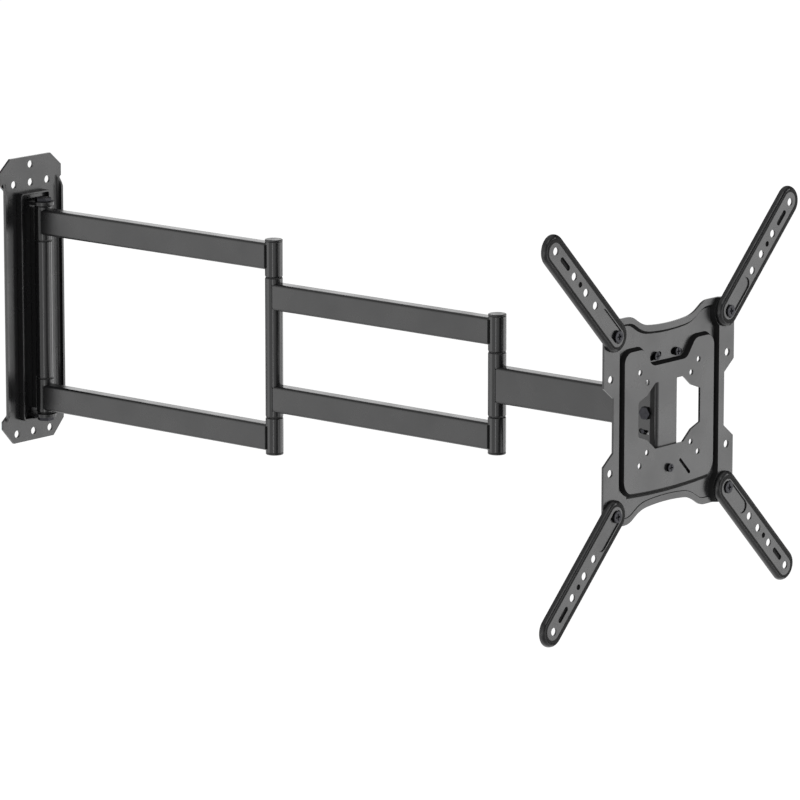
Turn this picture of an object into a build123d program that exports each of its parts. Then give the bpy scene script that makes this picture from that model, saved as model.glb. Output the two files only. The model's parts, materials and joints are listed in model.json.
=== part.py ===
"""Long reach full motion wall mount for a flat screen.

A stamped wall plate carries a hinge tray. Two twin-tube arms and a single-tube head arm
nest into each other on vertical knuckle hinges. The head swivels on a yoke, tilts on a
cross bolt, levels on slotted screws, and ends in a stamped screen plate with four
extension arms that turn on their pivot bolts.

Frame in millimetres: the origin is the middle of the wall holes on the wall face,
X runs right along the wall, +Y into the wall, +Z up. The arms reach out along -Y.
"""

import os
from math import atan2, degrees, hypot, sqrt, tan

from build123d import *

os.makedirs("parts", exist_ok=True)

# Wall plate
wall_sheet = 3.0
wall_half_width = 47.5
flank_rise = 6.0  # the rolled flanks stand this far in front of the sheet
flank_bend = 8.5  # outer bend radius of the flanks
flank_top = 150.0
flank_bottom = 130.0
flank_run_out = 13.0  # length over which a flank sinks back to the sheet
tab_half_width = 50.5
tab_flat_half = 33.0  # half length of the straight edge at the end of a tab
tab_neck_half = 38.0
upper_tab_end = 177.0
upper_tab_side_far = 162.0
upper_tab_side_near = 149.0
upper_tab_neck = 136.0
lower_tab_end = 157.0
lower_tab_side_far = 138.0
lower_tab_side_near = 129.0
lower_tab_neck = 119.0
wall_hole_dia = 9.0
wall_hole_pitch = 27.5
wall_row_height = 146.5
keyhole_height = 167.5

# Hinge tray on the wall plate
tray_half_width = 24.0
tray_sheet = 2.5
tray_depth = 8.0
tray_top = 136.0
tray_bottom = 131.0
tray_corner = 4.0

# Knuckle hinges
axis_stand_off = 19.3  # wall hinge axis in front of the wall plate
barrel_radius = 10.0
pin_radius = 5.0
bush_radius = 6.5
bush_length = 14.0
bush_flange = 1.0
seat_clearance = 0.02  # radial, between pieces that stay together
run_clearance = 0.06  # radial, between pieces that turn on each other
end_gap = 0.3  # axial, between pieces that turn on each other
knuckle_edge = 0.6
wall_hinge_half = 122.4  # half height between the hinge lugs
elbow_half = 122.4  # half height of the first post over its caps
head_post_half = 77.4  # half height of the second post over its caps
wall_knuckle_half = 80.0
inner_joint = 79.0  # half height of the outer arm's long barrel
outer_joint = 35.0  # half height of the head arm's barrel
cap_height = 2.0
cap_spigot = 4.0
lug_sheet = 4.0
lug_half_width = 13.0
knuckle_web_half = 4.0
spine_gap = 0.6  # between the spine in the tray and the knuckles that turn
spine_half = 118.0
hinge_nut_size = 17.0
hinge_nut_height = 4.5

# Arms
inner_arm_length = 356.0
outer_arm_length = 322.7
head_arm_length = 192.7
tube_width = 18.0
tube_wall = 2.0
tube_corner = 3.5
arm_tube_height = 30.0
head_tube_height = 40.0
inner_tube_level = 103.0
outer_tube_level = 58.0

# Swivel head
swivel_radius = 11.0
swivel_washer = 1.4
yoke_sheet = 4.0
yoke_half_width = 15.0
yoke_web_stand = 14.0  # from the swivel axis to the back of the yoke's web
tilt_reach = 26.0  # from the swivel axis forward to the tilt bolt
tilt_ear_radius = 10.8
tilt_bolt_radius = 4.0
tilt_washer = 1.2
tilt_washer_radius = 9.0
tilt_head_size = 13.0
tilt_head_height = 3.0
tilt_nut_height = 5.2
limit_pin_radius = 2.5
limit_pin_back = 4.0
limit_pin_drop = 20.5
tilt_up = 5.0
tilt_down = 15.0
limit_play = 1.0  # degrees of slot beyond each end of the tilt

# Tilt bracket
bracket_sheet = 2.5
bracket_half_width = 19.0
bracket_web_half = 44.0
bracket_flange_half = 16.0
bracket_bend_top = 37.0
bracket_bend_bottom = 39.0
bracket_bend = 4.5  # outer radius
bracket_flange_back = 10.5  # behind the tilt bolt
bracket_top = 74.0
bracket_top_half = 29.0
bracket_foot = 74.0
bracket_foot_half = 42.0
bracket_foot_top = 46.0
bracket_gap = 0.2

# Screen plate
plate_sheet = 2.5
plate_half = 111.5
plate_corner = 15.0
plate_front_reach = 17.0  # from the tilt bolt forward to the face of the plate
press_depth = 5.3  # the base lies this far behind the pressed-up faces
press_draft = 30.0
rim_draft = 45.0
waist_half = 95.0
waist_low = 29.0
waist_high = 42.0
arch_height = 96.3
arch_shoulder = 42.0
arch_shoulder_height = 99.2
arch_end = 62.0
arch_shoulder_round = 45.0
arch_end_round = 24.0
slant_share = 0.49  # most that one rounding takes of the slanted edge beside an arch
rim_width = 7.0
rim_rise = 2.7
lower_rim_rise = 0.7
panel_half = 76.5
panel_top = 74.0
panel_bottom = 80.8
panel_bottom_corner = 77.5  # the bottom edge bows down by the difference
panel_corner = 12.0
panel_lower_corner = 16.0
dip_half = 29.5
dip_height = 54.0
dip_shoulder = 44.5
press_wall = 1.8  # thickness of the drafted walls, seen from the front
ear_radius = 18.2
strip_inner = 85.5
window_half_height = 35.5
window_flat_half = 24.0
window_knee = 38.0
window_knee_height = 24.0
window_side = 53.0
window_side_height = 18.5
window_round = 4.0
vesa_100_dia = 6.4
vesa_200_dia = 8.6
vesa_75_half = 37.5
vesa_100_half = 50.0
vesa_200_half = 100.0
level_screw_half = 17.7
level_screw_height = 62.6
level_pivot_drop = 59.6
level_range = 3.0
level_screw_radius = 3.0
level_slot_play = 0.25
level_head_radius = 4.5
level_head_height = 2.8
key_slot_width = 3.6
key_slot_start = (19.5, -54.5)
key_slot_end = (35.0, -70.0)

# Extension arms
arm_pivot = 96.0  # pivot bolts at this distance right and up from the middle
arm_radius = 17.2
arm_sheet = 2.0
arm_depth = 6.0
arm_edge = 5.2
arm_gap = 0.3
arm_hole_dia = 8.6
arm_tip = 200.0  # outermost hole when the arms lie on the diagonals
arm_mid = 150.0
arm_low = 100.0  # height of the 200 mm rows that the turned arms reach
pocket_radius = 7.6
pocket_depth = 1.3
pocket_length = 36.0
rib_radius = 2.8
rib_length = 14.0
dimple_radius = 3.0
press_mark_depth = 1.6
pivot_bolt_radius = 4.0
pivot_head_radius = 6.6
pivot_head_height = 2.8
pivot_washer_radius = 8.0
pivot_nut_size = 13.0
pivot_nut_height = 5.0
drive_width = 1.3
drive_length = 3.2
drive_depth = 1.6

# Places worked out from the sizes
wall_axis = -(wall_sheet + axis_stand_off)
inner_elbow = wall_axis - inner_arm_length
outer_elbow = inner_elbow - outer_arm_length
swivel_axis = outer_elbow - head_arm_length
tilt_axis = swivel_axis - tilt_reach
plate_face = tilt_axis - plate_front_reach
front = Plane.XZ.offset(-plate_face)  # looks out of the plate's face, local y is up
base_face = front.offset(-press_depth)
plate_back = plate_face + plate_sheet
tray_floor = -(wall_sheet + tray_sheet)
washer_top = inner_joint + bush_flange + end_gap
pin_seat = pin_radius + seat_clearance
pin_run = pin_radius + run_clearance


def finish(piece, name):
    """Label a finished piece and write it out under its name."""
    piece.part.label = name
    export_step(piece.part, f"parts/{name}.step")


def ring(name, axis_y, low, high, bore):
    """A knuckle: a short thick tube on a vertical hinge axis."""
    with BuildPart() as knuckle:
        with BuildSketch(Plane.XY.offset(low)):
            with Locations((0, axis_y)):
                Circle(barrel_radius)
                Circle(bore, mode=Mode.SUBTRACT)
        extrude(amount=high - low)
        rims = knuckle.edges().filter_by(GeomType.CIRCLE).group_by(SortBy.RADIUS)[-1]
        chamfer(rims, length=knuckle_edge)
    finish(knuckle, name)


def pin(name, axis_y, half_length):
    """A plain hinge pin with chamfered ends."""
    with BuildPart() as shaft:
        with BuildSketch(Plane.XY.offset(-half_length)):
            with Locations((0, axis_y)):
                Circle(pin_radius)
        extrude(amount=2 * half_length)
        chamfer(shaft.edges().filter_by(GeomType.CIRCLE), length=knuckle_edge)
    finish(shaft, name)


def bushes(name, axis_y, ends):
    """Flanged bushes pressed into barrel ends: (height of the end, +1 up or -1 down)."""
    with BuildPart() as group:
        for height, way in ends:
            with BuildSketch(Plane.XY.offset(height)):
                with Locations((0, axis_y)):
                    Circle(bush_radius - seat_clearance)
                    Circle(pin_run, mode=Mode.SUBTRACT)
            extrude(amount=-way * bush_length)
            with BuildSketch(Plane.XY.offset(height)):
                with Locations((0, axis_y)):
                    Circle(barrel_radius - knuckle_edge)
                    Circle(pin_run, mode=Mode.SUBTRACT)
            extrude(amount=way * bush_flange)
    finish(group, name)


def caps(name, axis_y, half_height):
    """The two plastic caps that close a post, each with a spigot in the knuckle's bore."""
    with BuildPart() as group:
        for way in (1, -1):
            with BuildSketch(Plane.XY.offset(way * (half_height - cap_height))):
                with Locations((0, axis_y)):
                    Circle(barrel_radius)
            extrude(amount=way * cap_height)
            with BuildSketch(Plane.XY.offset(way * (half_height - cap_height))):
                with Locations((0, axis_y)):
                    Circle(pin_radius - knuckle_edge)
            extrude(amount=-way * cap_spigot)
        tops = group.edges().filter_by(GeomType.CIRCLE).group_by(Axis.Z)
        fillet(tops[0] + tops[-1], radius=cap_height / 2)
    finish(group, name)


def arm_tube(name, start, end, level, height, start_radius=barrel_radius, end_radius=barrel_radius):
    """A rounded box tube between two hinge axes, coped to fit round both barrels."""
    with BuildPart() as tube:
        with BuildSketch(Plane.XZ.offset(-start)):
            with Locations((0, level)):
                RectangleRounded(tube_width, height, tube_corner)
                RectangleRounded(
                    tube_width - 2 * tube_wall,
                    height - 2 * tube_wall,
                    tube_corner - tube_wall,
                    mode=Mode.SUBTRACT,
                )
        extrude(amount=start - end)
        for axis_y, radius in ((start, start_radius), (end, end_radius)):
            with BuildSketch(Plane.XY.offset(level - height)):
                with Locations((0, axis_y)):
                    Circle(radius + seat_clearance)
            extrude(amount=2 * height, mode=Mode.SUBTRACT)
    finish(tube, name)


# Wall plate: a channel with rolled flanks that run out into two flat octagon tabs
with BuildPart() as wall_plate:
    with BuildSketch(Plane.XY.offset(-flank_bottom)) as section:
        rise = wall_sheet + flank_rise
        with Locations((0, -rise / 2)):
            Rectangle(2 * wall_half_width, rise)
        fillet(section.vertices().group_by(Axis.Y)[-1], radius=flank_bend)
        with BuildSketch(mode=Mode.PRIVATE) as hollow:
            with Locations((0, -wall_sheet - flank_rise)):
                Rectangle(2 * (wall_half_width - wall_sheet), 2 * flank_rise)
            fillet(hollow.vertices().group_by(Axis.Y)[-1], radius=flank_bend - wall_sheet)
        add(hollow, mode=Mode.SUBTRACT)
    extrude(amount=flank_bottom + flank_top)
    with BuildSketch(Plane.YZ):
        with BuildLine():
            Polyline(
                (0, flank_top),
                (-wall_sheet, flank_top),
                (-rise, flank_top - flank_run_out),
                (-rise, flank_run_out - flank_bottom),
                (-wall_sheet, -flank_bottom),
                (0, -flank_bottom),
                close=True,
            )
        make_face()
    extrude(amount=2 * wall_half_width, both=True, mode=Mode.INTERSECT)
    for way, end, far, near, neck in (
        (1, upper_tab_end, upper_tab_side_far, upper_tab_side_near, upper_tab_neck),
        (-1, lower_tab_end, lower_tab_side_far, lower_tab_side_near, lower_tab_neck),
    ):
        with BuildSketch(Plane.XZ):
            with BuildLine():
                half = Polyline(
                    (0, way * end),
                    (tab_flat_half, way * end),
                    (tab_half_width, way * far),
                    (tab_half_width, way * near),
                    (tab_neck_half, way * neck),
                    (0, way * neck),
                )
                mirror(half, about=Plane.YZ)
            make_face()
        extrude(amount=wall_sheet)
    with BuildSketch(Plane.XZ):
        with GridLocations(wall_hole_pitch, 2 * wall_row_height, 3, 2):
            Circle(wall_hole_dia / 2)
        with Locations((0, keyhole_height)):
            Circle(wall_hole_dia / 2)
    extrude(amount=wall_sheet, mode=Mode.SUBTRACT)
finish(wall_plate, "wall_plate")

# Hinge tray: an open box pressed from sheet, welded on the wall plate
with BuildPart() as hinge_tray:
    tray_middle = (0, (tray_top - tray_bottom) / 2)
    with BuildSketch(Plane.XZ.offset(wall_sheet)):
        with Locations(tray_middle):
            RectangleRounded(2 * tray_half_width, tray_top + tray_bottom, tray_corner)
    extrude(amount=tray_depth)
    with BuildSketch(Plane.XZ.offset(wall_sheet + tray_sheet)):
        with Locations(tray_middle):
            RectangleRounded(
                2 * (tray_half_width - tray_sheet),
                tray_top + tray_bottom - 2 * tray_sheet,
                tray_corner - tray_sheet,
            )
    extrude(amount=tray_depth, mode=Mode.SUBTRACT)
finish(hinge_tray, "hinge_tray")

# Hinge lugs: flat eyes above and below the wall knuckles, welded to the tray floor
for name, way in (("upper_hinge_lug", 1), ("lower_hinge_lug", -1)):
    with BuildPart() as lug:
        with BuildSketch(Plane.XY.offset(way * wall_hinge_half)):
            with Locations((0, wall_axis)):
                Circle(lug_half_width)
            with Locations((0, (wall_axis + tray_floor) / 2)):
                Rectangle(2 * lug_half_width, tray_floor - wall_axis)
            with Locations((0, wall_axis)):
                Circle(pin_seat, mode=Mode.SUBTRACT)
        extrude(amount=way * lug_sheet)
    finish(lug, name)

# Wall knuckle: the fixed middle barrel of the wall hinge on its web, which runs on as a low spine
spine_front = wall_axis + barrel_radius + spine_gap
with BuildPart() as wall_knuckle:
    with BuildSketch(Plane.XY.offset(-wall_knuckle_half)):
        with Locations((0, wall_axis)):
            Circle(barrel_radius)
        with Locations((0, (wall_axis + tray_floor) / 2)):
            Rectangle(2 * knuckle_web_half, tray_floor - wall_axis)
        with Locations((0, wall_axis)):
            Circle(pin_seat, mode=Mode.SUBTRACT)
    extrude(amount=2 * wall_knuckle_half)
    with BuildSketch(Plane.XY.offset(-spine_half)):
        with Locations((0, (spine_front + tray_floor) / 2)):
            Rectangle(2 * knuckle_web_half, tray_floor - spine_front)
    extrude(amount=2 * spine_half)
finish(wall_knuckle, "wall_knuckle")

pin("wall_hinge_pin", wall_axis, wall_hinge_half + lug_sheet + hinge_nut_height)

# Hinge nuts: flanged hexagons on both ends of the wall pin
with BuildPart() as wall_hinge_nuts:
    for way in (1, -1):
        with BuildSketch(Plane.XY.offset(way * (wall_hinge_half + lug_sheet))):
            with Locations((0, wall_axis)):
                RegularPolygon(hinge_nut_size / 2, 6, major_radius=False)
                Circle(pin_seat, mode=Mode.SUBTRACT)
        extrude(amount=way * hinge_nut_height)
finish(wall_hinge_nuts, "wall_hinge_nuts")

# Inner arm: two tubes between the wall hinge and the first post
knuckle_low = wall_knuckle_half + end_gap + bush_flange
knuckle_high = wall_hinge_half - end_gap - bush_flange
ring("inner_arm_upper_wall_knuckle", wall_axis, knuckle_low, knuckle_high, bush_radius)
ring("inner_arm_lower_wall_knuckle", wall_axis, -knuckle_high, -knuckle_low, bush_radius)
bushes(
    "inner_arm_bushes",
    wall_axis,
    ((knuckle_high, 1), (knuckle_low, -1), (-knuckle_low, 1), (-knuckle_high, -1)),
)
arm_tube("inner_arm_upper_tube", wall_axis, inner_elbow, inner_tube_level, arm_tube_height)
arm_tube("inner_arm_lower_tube", wall_axis, inner_elbow, -inner_tube_level, arm_tube_height)
post_top = elbow_half - cap_height
ring("inner_arm_upper_elbow_knuckle", inner_elbow, washer_top, post_top, pin_seat)
ring("inner_arm_lower_elbow_knuckle", inner_elbow, -post_top, -washer_top, pin_seat)
pin("inner_elbow_pin", inner_elbow, post_top - cap_spigot)
caps("inner_elbow_caps", inner_elbow, elbow_half)

# Outer arm: a long barrel joins its two tubes on the first post
ring("outer_arm_barrel", inner_elbow, -inner_joint, inner_joint, bush_radius)
bushes("outer_arm_bushes", inner_elbow, ((inner_joint, 1), (-inner_joint, -1)))
arm_tube("outer_arm_upper_tube", inner_elbow, outer_elbow, outer_tube_level, arm_tube_height)
arm_tube("outer_arm_lower_tube", inner_elbow, outer_elbow, -outer_tube_level, arm_tube_height)
head_washer_top = outer_joint + bush_flange + end_gap
head_post_top = head_post_half - cap_height
ring("outer_arm_upper_elbow_knuckle", outer_elbow, head_washer_top, head_post_top, pin_seat)
ring("outer_arm_lower_elbow_knuckle", outer_elbow, -head_post_top, -head_washer_top, pin_seat)
pin("outer_elbow_pin", outer_elbow, head_post_top - cap_spigot)
caps("outer_elbow_caps", outer_elbow, head_post_half)

# Head arm: one tall tube from the second post to the swivel barrel
ring("head_arm_barrel", outer_elbow, -outer_joint, outer_joint, bush_radius)
bushes("head_arm_bushes", outer_elbow, ((outer_joint, 1), (-outer_joint, -1)))
arm_tube("head_arm_tube", outer_elbow, swivel_axis, 0, head_tube_height, end_radius=swivel_radius)
swivel_half = head_tube_height / 2
with BuildPart() as swivel_barrel:
    with BuildSketch(Plane.XY.offset(-swivel_half)):
        with Locations((0, swivel_axis)):
            Circle(swivel_radius)
            Circle(pin_run, mode=Mode.SUBTRACT)
    extrude(amount=2 * swivel_half)
finish(swivel_barrel, "swivel_barrel")

# Swivel yoke: a bent bracket whose lugs hold the swivel barrel and whose ears hold the tilt bolt
lug_inner = swivel_half + end_gap + swivel_washer
lug_outer = lug_inner + yoke_sheet
yoke_web_back = swivel_axis - yoke_web_stand
yoke_web_front = yoke_web_back - yoke_sheet
limit_pin_y = tilt_axis + limit_pin_back
ear_inner = yoke_half_width - yoke_sheet
with BuildPart() as swivel_yoke:
    with BuildSketch(Plane.XY.offset(-lug_outer)) as eye:
        with Locations((0, swivel_axis)):
            Circle(yoke_half_width)
        with Locations((0, (swivel_axis + yoke_web_front) / 2)):
            Rectangle(2 * yoke_half_width, swivel_axis - yoke_web_front)
        with Locations((0, swivel_axis)):
            Circle(pin_seat, mode=Mode.SUBTRACT)
    extrude(amount=2 * lug_outer)
    with BuildSketch(Plane.XY.offset(-lug_inner)):
        room = yoke_half_width + yoke_web_stand
        with Locations((0, yoke_web_back + room / 2)):
            Rectangle(2 * yoke_half_width, room)
    extrude(amount=2 * lug_inner, mode=Mode.SUBTRACT)
    for side in (-1, 1):
        with BuildSketch(Plane.YZ.offset(side * (ear_inner + yoke_half_width) / 2)):
            with BuildLine():
                Polyline(
                    (yoke_web_front, tilt_ear_radius),
                    (tilt_axis, tilt_ear_radius),
                    (tilt_axis, -tilt_ear_radius),
                    (limit_pin_y - 2 * limit_pin_radius, -limit_pin_drop),
                    (limit_pin_y, -lug_outer),
                    (yoke_web_front, -lug_outer),
                    close=True,
                )
            make_face()
            with Locations((tilt_axis, 0)):
                Circle(tilt_ear_radius)
                Circle(tilt_bolt_radius + run_clearance, mode=Mode.SUBTRACT)
            with Locations((limit_pin_y, -limit_pin_drop)):
                Circle(limit_pin_radius + seat_clearance, mode=Mode.SUBTRACT)
        extrude(amount=yoke_sheet / 2, both=True)
finish(swivel_yoke, "swivel_yoke")

with BuildPart() as swivel_washers:
    for way in (1, -1):
        with BuildSketch(Plane.XY.offset(way * lug_inner)):
            with Locations((0, swivel_axis)):
                Circle(swivel_radius)
                Circle(pin_seat, mode=Mode.SUBTRACT)
        extrude(amount=-way * swivel_washer)
finish(swivel_washers, "swivel_washers")

# Swivel bolt with its hexagon head on top, and its nut below
with BuildPart() as swivel_bolt:
    with BuildSketch(Plane.XY.offset(lug_outer)):
        with Locations((0, swivel_axis)):
            RegularPolygon(hinge_nut_size / 2, 6, major_radius=False)
    extrude(amount=hinge_nut_height)
    with BuildSketch(Plane.XY.offset(lug_outer)):
        with Locations((0, swivel_axis)):
            Circle(pin_radius)
    extrude(amount=-2 * lug_outer - hinge_nut_height)
finish(swivel_bolt, "swivel_bolt")

with BuildPart() as swivel_nut:
    with BuildSketch(Plane.XY.offset(-lug_outer)):
        with Locations((0, swivel_axis)):
            RegularPolygon(hinge_nut_size / 2, 6, major_radius=False)
            Circle(pin_seat, mode=Mode.SUBTRACT)
    extrude(amount=-hinge_nut_height)
finish(swivel_nut, "swivel_nut")

# Tilt limit pin through both ears and the curved slots of the bracket flanges
with BuildPart() as tilt_limit_pin:
    with BuildSketch(Plane.YZ.offset(-bracket_half_width)):
        with Locations((limit_pin_y, -limit_pin_drop)):
            Circle(limit_pin_radius)
    extrude(amount=2 * bracket_half_width)
finish(tilt_limit_pin, "tilt_limit_pin")

# Friction washers between the yoke's ears and the bracket's flanges
with BuildPart() as tilt_friction_washers:
    for side in (-1, 1):
        with BuildSketch(Plane.YZ.offset(side * yoke_half_width)):
            with Locations((tilt_axis, 0)):
                Circle(tilt_washer_radius)
                Circle(tilt_bolt_radius + run_clearance, mode=Mode.SUBTRACT)
        extrude(amount=side * tilt_washer)
finish(tilt_friction_washers, "tilt_friction_washers")

# Tilt bracket: a bent sheet with a joggled top, two side flanges and a wide foot
web_front = plate_back + bracket_gap
web_back = web_front + bracket_sheet
flange_inner = bracket_half_width - bracket_sheet
flange_back = tilt_axis + bracket_flange_back
slot_radius = sqrt(limit_pin_back**2 + limit_pin_drop**2)
slot_start = degrees(atan2(-limit_pin_drop, limit_pin_back)) - tilt_down - limit_play
slot_sweep = tilt_up + tilt_down + 2 * limit_play
limit_path = CenterArc((tilt_axis, 0), slot_radius, slot_start, slot_sweep)
with BuildPart() as tilt_bracket:
    with BuildSketch(Plane.YZ):
        with BuildLine():
            Polyline(
                (web_front, -bracket_foot),
                (web_back, -bracket_foot),
                (web_back, bracket_web_half),
                (web_back + press_depth, bracket_web_half + press_depth),
                (web_back + press_depth, bracket_top),
                (web_front + press_depth, bracket_top),
                (web_front + press_depth, bracket_web_half + press_depth),
                (web_front, bracket_web_half),
                close=True,
            )
        make_face()
    extrude(amount=bracket_foot_half, both=True)
    with BuildSketch(Plane.XZ.offset(-web_back - press_depth)):
        head_height = bracket_top - bracket_web_half
        with Locations((0, bracket_top - head_height / 2)):
            RectangleRounded(2 * bracket_top_half, head_height, plate_sheet)
        with Locations((0, (bracket_web_half - bracket_foot) / 2)):
            Rectangle(2 * bracket_half_width, bracket_web_half + bracket_foot + head_height / 2)
        with Locations((0, -(bracket_foot + bracket_foot_top) / 2)):
            RectangleRounded(2 * bracket_foot_half, bracket_foot - bracket_foot_top, plate_sheet)
    extrude(amount=bracket_sheet + 2 * press_depth, mode=Mode.INTERSECT)
    for side in (-1, 1):
        with BuildSketch(Plane.YZ.offset(side * (flange_inner + bracket_half_width) / 2)):
            with BuildLine():
                Polyline(
                    (web_front, bracket_bend_top),
                    (web_front + bracket_bend, bracket_bend_top),
                    (flange_back - bracket_sheet, bracket_flange_half),
                    (flange_back, bracket_flange_half - bracket_sheet),
                    (flange_back, -limit_pin_drop),
                    (limit_pin_y + 2 * limit_pin_radius, -limit_pin_drop - 3 * limit_pin_radius),
                    (web_front + bracket_bend, -bracket_bend_bottom),
                    (web_front, -bracket_bend_bottom),
                    close=True,
                )
            make_face()
            with Locations((tilt_axis, 0)):
                Circle(tilt_bolt_radius + seat_clearance, mode=Mode.SUBTRACT)
            SlotArc(limit_path, 2 * (limit_pin_radius + run_clearance), mode=Mode.SUBTRACT)
        extrude(amount=bracket_sheet / 2, both=True)
    with BuildSketch(Plane.XY.offset(-bracket_bend_bottom)):
        bend_inset = bracket_half_width - bracket_bend
        for side in (-1, 1):
            with Locations((side * (bend_inset + bracket_bend / 2), web_front + bracket_bend / 2)):
                Rectangle(bracket_bend, bracket_bend)
            with Locations((side * bend_inset, web_front + bracket_bend)):
                Circle(bracket_bend, mode=Mode.SUBTRACT)
    extrude(amount=bracket_bend_bottom + bracket_bend_top, mode=Mode.SUBTRACT)
    with BuildSketch(front):
        with Locations((-level_screw_half, level_screw_height), (level_screw_half, level_screw_height)):
            Circle(level_screw_radius + seat_clearance)
        with Locations((0, -level_pivot_drop)):
            Circle(level_screw_radius + seat_clearance)
    extrude(amount=-plate_sheet - 2 * press_depth, mode=Mode.SUBTRACT)
finish(tilt_bracket, "tilt_bracket")

# Tilt bolt with a hexagon head on the left and a lock nut on the right
with BuildPart() as tilt_bolt:
    with BuildSketch(Plane.YZ.offset(-bracket_half_width)):
        with Locations((tilt_axis, 0)):
            RegularPolygon(tilt_head_size / 2, 6, major_radius=False)
    extrude(amount=-tilt_head_height)
    with BuildSketch(Plane.YZ.offset(-bracket_half_width)):
        with Locations((tilt_axis, 0)):
            Circle(tilt_bolt_radius)
    extrude(amount=2 * bracket_half_width + 2 * tilt_nut_height)
finish(tilt_bolt, "tilt_bolt")

with BuildPart() as tilt_nut:
    with BuildSketch(Plane.YZ.offset(bracket_half_width)):
        with Locations((tilt_axis, 0)):
            RegularPolygon(tilt_head_size / 2, 6, major_radius=False)
            Circle(tilt_bolt_radius + seat_clearance, mode=Mode.SUBTRACT)
    extrude(amount=tilt_nut_height)
finish(tilt_nut, "tilt_nut")


def pan_head_screw(middle, seat, grip):
    """Add a cross recessed pan head on the plane seat, with a shank of the length grip behind it."""
    with BuildSketch(seat) as head:
        with Locations(middle):
            Circle(level_head_radius)
    extrude(head.sketch, amount=level_head_height)
    with BuildSketch(seat) as shank:
        with Locations(middle):
            Circle(level_screw_radius)
    extrude(shank.sketch, amount=-grip)
    with BuildSketch(seat.offset(level_head_height)) as cross:
        with Locations(middle):
            Rectangle(2 * drive_length, drive_width)
            Rectangle(drive_width, 2 * drive_length)
    extrude(cross.sketch, amount=-drive_depth, mode=Mode.SUBTRACT)


# Level screws clamp the plate in its slots, and the lower screw is the pivot of the levelling
screw_grip = 2 * bracket_gap + plate_sheet + 2 * bracket_sheet
with BuildPart() as level_screws:
    for side in (-1, 1):
        pan_head_screw(
            (side * level_screw_half, level_screw_height), base_face.offset(bracket_gap), screw_grip
        )
finish(level_screws, "level_screws")

with BuildPart() as level_pivot_screw:
    pan_head_screw((0, -level_pivot_drop), front.offset(bracket_gap), screw_grip)
finish(level_pivot_screw, "level_pivot_screw")


def round_arches(outline):
    """Round both ends of the slanted edges beside the arches, as far as these have room."""
    rise = plate_half - arch_shoulder_height
    slant = hypot(arch_end - arch_shoulder, rise)
    slope = atan2(rise, arch_end - arch_shoulder)
    arch_slope = 2 * atan2(arch_shoulder_height - arch_height, arch_shoulder)
    for reach, wanted, turn in (
        (arch_shoulder, arch_shoulder_round, slope - arch_slope),
        (arch_end, arch_end_round, slope),
    ):
        corners = outline.vertices().filter_by(lambda v: abs(abs(v.X) - reach) < reach / 10)
        fillet(corners, radius=min(wanted, slant_share * slant / tan(abs(turn) / 2)))


def plate_outline(plane):
    """The screen plate from the front: waisted sides, arched top and bottom, rounded corners."""
    with BuildSketch(plane) as outline:
        with BuildLine():
            side = Polyline(
                (arch_shoulder, arch_shoulder_height),
                (arch_end, plate_half),
                (plate_half, plate_half),
                (plate_half, waist_high),
                (waist_half, waist_low),
                (waist_half, -waist_low),
                (plate_half, -waist_high),
                (plate_half, -plate_half),
                (arch_end, -plate_half),
                (arch_shoulder, -arch_shoulder_height),
            )
            mirror(side, about=Plane.YZ)
            for way in (1, -1):
                ThreePointArc(
                    (-arch_shoulder, way * arch_shoulder_height),
                    (0, way * arch_height),
                    (arch_shoulder, way * arch_shoulder_height),
                )
        make_face()
        corners = outline.vertices().sort_by(lambda v: abs(v.X) + abs(v.Y))[-4:]
        fillet(corners, radius=plate_corner)
        round_arches(outline)
    return outline.sketch


def panel_outline(plane, inset=0.0):
    """The raised middle panel, with a dip between two rounded shoulders at its top edge."""
    with BuildSketch(plane) as outline:
        with BuildLine():
            side = Polyline(
                (0, dip_height - inset),
                (dip_half, dip_height - inset),
                (dip_shoulder, panel_top - inset),
                (panel_half - inset, panel_top - inset),
                (panel_half - inset, inset - panel_bottom_corner),
            )
            mirror(side, about=Plane.YZ)
            ThreePointArc(
                (panel_half - inset, inset - panel_bottom_corner),
                (0, inset - panel_bottom),
                (inset - panel_half, inset - panel_bottom_corner),
            )
        make_face()
        upper = outline.vertices().filter_by(lambda v: abs(v.X) > dip_half / 2 and v.Y > 0)
        fillet(upper, radius=panel_corner - inset)
        lower = outline.vertices().filter_by(lambda v: v.Y < -panel_bottom_corner / 2)
        fillet(lower, radius=panel_lower_corner - inset)
    return outline.sketch


def strip_outline(plane, inset=0.0):
    """The raised bands beside the panel, which swell round the pivot bolts in the corners."""
    with BuildSketch(plane) as outline:
        band = plate_half - strip_inner + plate_corner
        for side in (-1, 1):
            with Locations((side * (strip_inner + inset + band / 2), 0)):
                Rectangle(band, 2 * arm_pivot)
            with Locations((side * arm_pivot, arm_pivot), (side * arm_pivot, -arm_pivot)):
                Circle(ear_radius - inset)
    return outline.sketch


def rim_outline(plane, width, way):
    """The edge of the plate along its top or bottom arch, as a band of the given width."""
    with BuildSketch(plane) as outline:
        with BuildLine():
            crest = way * 2 * plate_half
            left = (-arch_shoulder, way * (arch_shoulder_height - width))
            right = (arch_shoulder, way * (arch_shoulder_height - width))
            ThreePointArc(left, (0, way * (arch_height - width)), right)
            Polyline(
                right,
                (arch_end, way * (plate_half - width)),
                (arm_pivot, way * (plate_half - width)),
                (arm_pivot, crest),
                (-arm_pivot, crest),
                (-arm_pivot, way * (plate_half - width)),
                (-arch_end, way * (plate_half - width)),
                left,
            )
        make_face()
        round_arches(outline)
    return outline.sketch


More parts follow.
